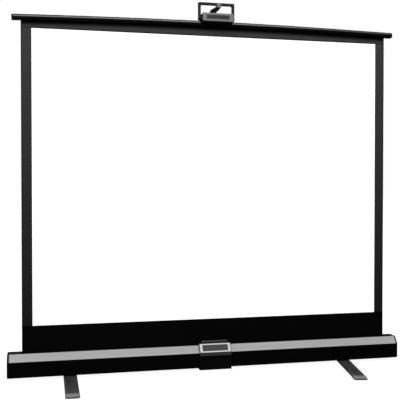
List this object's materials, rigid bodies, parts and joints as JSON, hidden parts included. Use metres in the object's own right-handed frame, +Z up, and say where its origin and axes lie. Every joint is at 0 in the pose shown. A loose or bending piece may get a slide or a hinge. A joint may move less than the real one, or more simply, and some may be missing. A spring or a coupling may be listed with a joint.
{
  "type": "tabletop projection screen",
  "caption": "Tabletop projection screen: a bordered white sheet pulled up from a low case on swivel feet, its top bar hung by a bail on a telescopic rear mast.",
  "frame": {"origin": "on the table, at the middle of the part's base between the foot tips", "axes": "+X along the case to the viewer's right, -Y towards the audience, +Z up"},
  "size_m": [1.13, 0.4001, 1.0378],
  "materials": {
    "anodised_black": "satin black anodised",
    "facet_trim": "fine brushed",
    "moulded_black": "fine moulded texture",
    "bail_black": "semi-gloss",
    "satin_grey": "satin",
    "toe_grey": "satin",
    "label_silver": "satin silver",
    "label_panel": "gloss",
    "catch_steel": "brushed",
    "painted_steel": "satin paint",
    "hook_steel": "semi-gloss black",
    "zinc_steel": "zinc plated",
    "roller_aluminium": "mill finish",
    "nylon": "plain",
    "picture_white": "matt white coated cloth",
    "sheet_black": "matt black coated cloth",
    "drop_black": "matt black cloth",
    "rubber": "matt"
  },
  "bodies": {
    "case": {"case_extrusion": "anodised_black", "front_trim_strips": "facet_trim", "end_cap_left": "moulded_black", "end_cap_right": "moulded_black", "end_cap_screws": "zinc_steel", "roller_bush": "nylon", "spring_arbor": "zinc_steel", "picture_surface": "picture_white", "sheet_border": "sheet_black", "sheet_drop": "drop_black", "saddle_front": "moulded_black", "saddle_rear": "moulded_black", "saddle_screws": "zinc_steel", "saddle_label_frame": "label_silver", "saddle_label_panel": "label_panel", "bar_catch": "catch_steel", "mast_base_tube": "anodised_black", "mast_lower_collar": "moulded_black", "mast_socket_screw": "zinc_steel", "foot_pivot_bolts": "zinc_steel", "foot_pivot_washers": "zinc_steel", "foot_pivot_plates": "zinc_steel", "foot_pivot_nuts": "zinc_steel"},
    "roller": {"roller_tube": "roller_aluminium", "fabric_roll": "drop_black", "roller_plug_left": "nylon", "roller_plug_right": "nylon", "roller_spring": "zinc_steel"},
    "top_bar": {"top_bar_tube": "anodised_black", "top_bar_cap_left": "moulded_black", "top_bar_cap_right": "moulded_black", "hem_rod": "zinc_steel", "handle_base": "moulded_black", "handle_lid": "moulded_black", "handle_front_plate": "satin_grey", "handle_label_panel": "label_panel", "handle_screws": "zinc_steel"},
    "bail": {"bail": "bail_black", "bail_pins": "zinc_steel", "bail_keeper": "satin_grey"},
    "mast_mid": {"mast_mid_tube": "anodised_black", "mast_mid_glide": "nylon", "mast_upper_collar": "moulded_black"},
    "mast_top": {"mast_top_tube": "anodised_black", "mast_top_glide": "nylon", "gooseneck_hook": "hook_steel"},
    "lower_knob": {"mast_lower_knob": "moulded_black"},
    "upper_knob": {"mast_upper_knob": "moulded_black"},
    "foot_left": {"foot_left_strip": "painted_steel", "foot_left_toes": "toe_grey", "foot_left_pads": "rubber"},
    "foot_right": {"foot_right_strip": "painted_steel", "foot_right_toes": "toe_grey", "foot_right_pads": "rubber"}
  },
  "joints": [
    {"name": "screen_lift", "type": "slide", "parent": "case", "child": "top_bar", "axis": [0, 0, 1], "range_m": [-0.56, 0], "deforming": ["picture_surface", "sheet_border", "sheet_drop"]},
    {"name": "mast_mid_slide", "type": "slide", "parent": "case", "child": "mast_mid", "axis": [0, 0, 1], "range_m": [-0.28, 0]},
    {"name": "mast_top_slide", "type": "slide", "parent": "mast_mid", "child": "mast_top", "axis": [0, 0, 1], "range_m": [-0.28, 0]},
    {"name": "roller_spin", "type": "hinge", "parent": "case", "child": "roller", "pos_m": [0, 0.02555, 0.038], "axis": [1, 0, 0], "range_deg": [0, 2072]},
    {"name": "bail_swing", "type": "hinge", "parent": "top_bar", "child": "bail", "pos_m": [0.011, 0.0095, 0.9925], "axis": [1, 0, 0], "range_deg": [0, 100]},
    {"name": "foot_left_swivel", "type": "hinge", "parent": "case", "child": "foot_left", "pos_m": [-0.399, 0.018, 0.004], "axis": [0, 0, 1], "range_deg": [0, 90]},
    {"name": "foot_right_swivel", "type": "hinge", "parent": "case", "child": "foot_right", "pos_m": [0.399, 0.018, 0.004], "axis": [0, 0, 1], "range_deg": [-79.8, 10.2]},
    {"name": "lower_knob_turn", "type": "hinge", "parent": "case", "child": "lower_knob", "pos_m": [0.011, 0.079, 0.35728], "axis": [0, 1, 0], "range_deg": [0, 180]},
    {"name": "upper_knob_turn", "type": "hinge", "parent": "mast_mid", "child": "upper_knob", "pos_m": [0.011, 0.079, 0.69957], "axis": [0, 1, 0], "range_deg": [0, 180]}
  ],
  "couplings": [
    {"joint": "mast_mid_slide", "follows": "screen_lift", "ratio": 0.5},
    {"joint": "mast_top_slide", "follows": "screen_lift", "ratio": 0.5},
    {"joint": "roller_spin", "follows": "screen_lift", "rad_per_m": -64.516}
  ]
}
